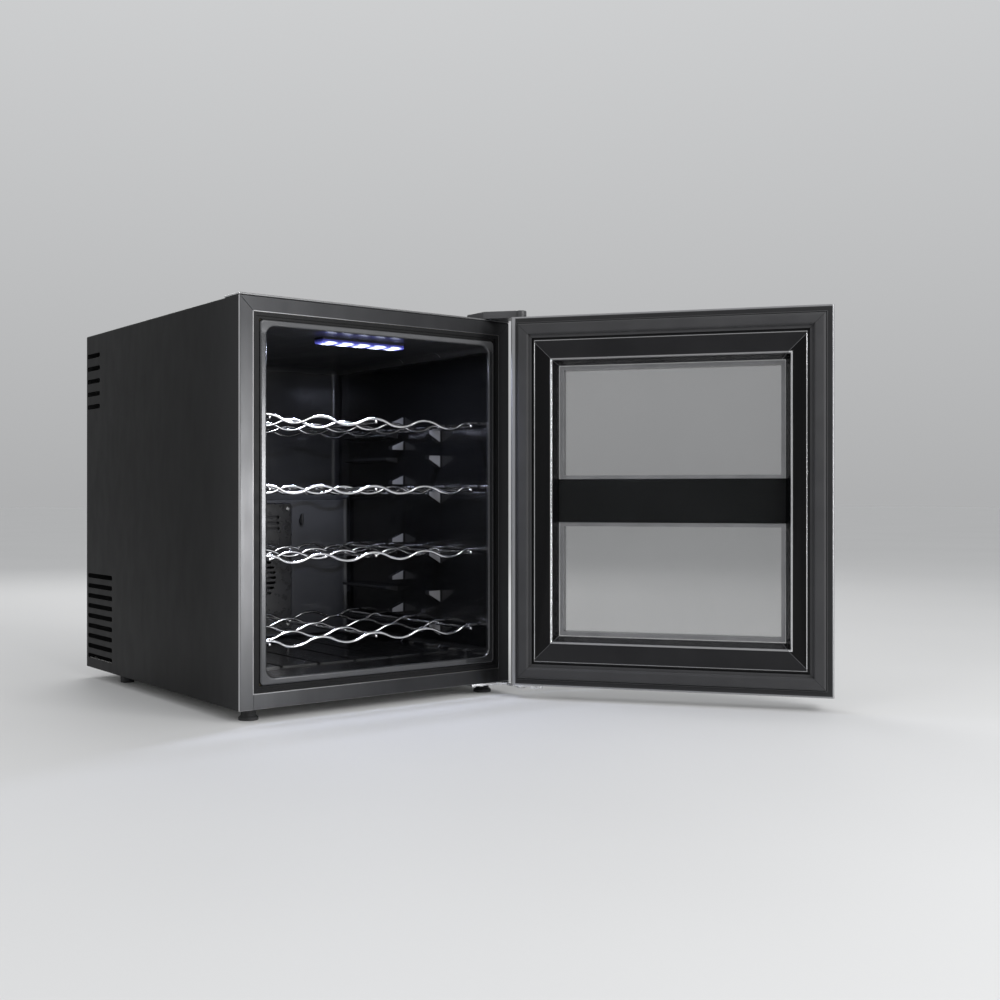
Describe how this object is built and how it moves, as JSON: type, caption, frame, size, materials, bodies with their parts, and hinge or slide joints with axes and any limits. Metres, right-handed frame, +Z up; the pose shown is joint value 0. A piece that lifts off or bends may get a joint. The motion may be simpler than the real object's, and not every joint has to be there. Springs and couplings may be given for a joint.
{
  "type": "wine cooler",
  "caption": "Table-top wine cooler: insulated black cabinet with waved wire shelves, ceiling lamp, rear cooling unit and a double-glazed hinged door.",
  "frame": {"origin": "on the floor under the middle of the cabinet's footprint, door left out", "axes": "+X to the right seen from the front, +Y towards the back, +Z up"},
  "size_m": [0.6795, 0.8909, 0.5362],
  "materials": {
    "body_paint": "satin dark metallic paint",
    "plated_steel": "zinc plated",
    "rear_paint": "matt black paint",
    "zinc_screw": "bright zinc",
    "black_trim": "fine grained black",
    "liner_black": "gloss black",
    "foam": "rigid foam",
    "fan_black": "moulded black",
    "sink_aluminium": "as extruded",
    "spacer_aluminium": "anodised grey",
    "module_ceramic": "white ceramic",
    "board_green": "green solder mask",
    "component_dark": "moulded dark",
    "lamp_white": "white",
    "lamp_clear": "clear plastic",
    "bracket_steel": "dark grey paint",
    "foot_plastic": "black",
    "shelf_chrome": "bright chrome plate",
    "door_black": "satin black",
    "gloss_frame": "gloss black",
    "front_glass": "tinted",
    "inner_glass": "clear",
    "seal_rubber": "soft dark grey",
    "magnet": "flexible magnet",
    "bush_plastic": "nylon"
  },
  "bodies": {
    "cabinet": {"cabinet_shell": "body_paint", "top_front_trim": "body_paint", "base_panel": "plated_steel", "bottom_front_rail": "body_paint", "breaker_strip": "black_trim", "inner_liner": "liner_black", "insulation_foam": "foam", "rear_bulkhead": "plated_steel", "rear_cover": "rear_paint", "rear_cover_screws": "zinc_screw", "cold_fan_cover": "black_trim", "cover_screws": "zinc_screw", "cold_fan_frame": "fan_black", "cold_sink": "sink_aluminium", "thermoelectric_module": "module_ceramic", "hot_sink": "sink_aluminium", "sink_bolts": "zinc_screw", "hot_fan_frame": "fan_black", "power_board": "board_green", "power_components": "component_dark", "mains_inlet": "fan_black", "temperature_probe": "fan_black", "lamp_base": "lamp_white", "lamp_board": "board_green", "lamp_lens": "lamp_clear", "top_hinge_bracket": "bracket_steel", "top_hinge_cover": "black_trim", "top_hinge_pin": "zinc_screw", "top_hinge_screws": "zinc_screw", "bottom_hinge_bracket": "plated_steel", "bottom_hinge_pin": "zinc_screw", "bottom_hinge_screws": "zinc_screw", "foot_rear_left": "foot_plastic", "foot_rear_right": "foot_plastic"},
    "door": {"door_frame": "door_black", "door_outer_glass": "front_glass", "door_inner_glass": "inner_glass", "door_inner_frame": "gloss_frame", "door_gasket": "seal_rubber", "gasket_magnets": "magnet", "window_spacer_upper": "spacer_aluminium", "window_spacer_lower": "spacer_aluminium", "control_housing": "black_trim", "control_board": "board_green", "display_module": "component_dark", "door_bush_top": "bush_plastic", "door_bush_bottom": "bush_plastic", "door_stop_plate": "plated_steel"},
    "shelf_1": {"shelf_1": "shelf_chrome"},
    "shelf_2": {"shelf_2": "shelf_chrome"},
    "shelf_3": {"shelf_3": "shelf_chrome"},
    "shelf_4": {"shelf_4": "shelf_chrome"},
    "cold_fan": {"cold_fan_rotor": "fan_black"},
    "hot_fan": {"hot_fan_rotor": "fan_black"},
    "front_left_foot": {"foot_front_left": "foot_plastic"},
    "front_right_foot": {"foot_front_right": "foot_plastic"}
  },
  "joints": [
    {"name": "door_hinge", "type": "hinge", "parent": "cabinet", "child": "door", "pos_m": [0.2045, -0.289, 0.27], "axis": [0, 0, 1], "range_deg": [-127.1, 18]},
    {"name": "shelf_1_slide", "type": "slide", "parent": "cabinet", "child": "shelf_1", "axis": [0, -1, 0], "range_m": [0, 0.11]},
    {"name": "shelf_2_slide", "type": "slide", "parent": "cabinet", "child": "shelf_2", "axis": [0, -1, 0], "range_m": [0, 0.11]},
    {"name": "shelf_3_slide", "type": "slide", "parent": "cabinet", "child": "shelf_3", "axis": [0, -1, 0], "range_m": [0, 0.11]},
    {"name": "shelf_4_slide", "type": "slide", "parent": "cabinet", "child": "shelf_4", "axis": [0, -1, 0], "range_m": [0, 0.11]},
    {"name": "cold_fan_spin", "type": "hinge", "parent": "cabinet", "child": "cold_fan", "pos_m": [0, 0.118, 0.15], "axis": [0, 1, 0], "continuous": true},
    {"name": "hot_fan_spin", "type": "hinge", "parent": "cabinet", "child": "hot_fan", "pos_m": [0, 0.197, 0.15], "axis": [0, 1, 0], "continuous": true},
    {"name": "front_left_foot_level", "type": "slide", "parent": "cabinet", "child": "front_left_foot", "axis": [0, 0, -1], "range_m": [0, 0.008]},
    {"name": "front_right_foot_level", "type": "slide", "parent": "cabinet", "child": "front_right_foot", "axis": [0, 0, -1], "range_m": [0, 0.008]}
  ]
}
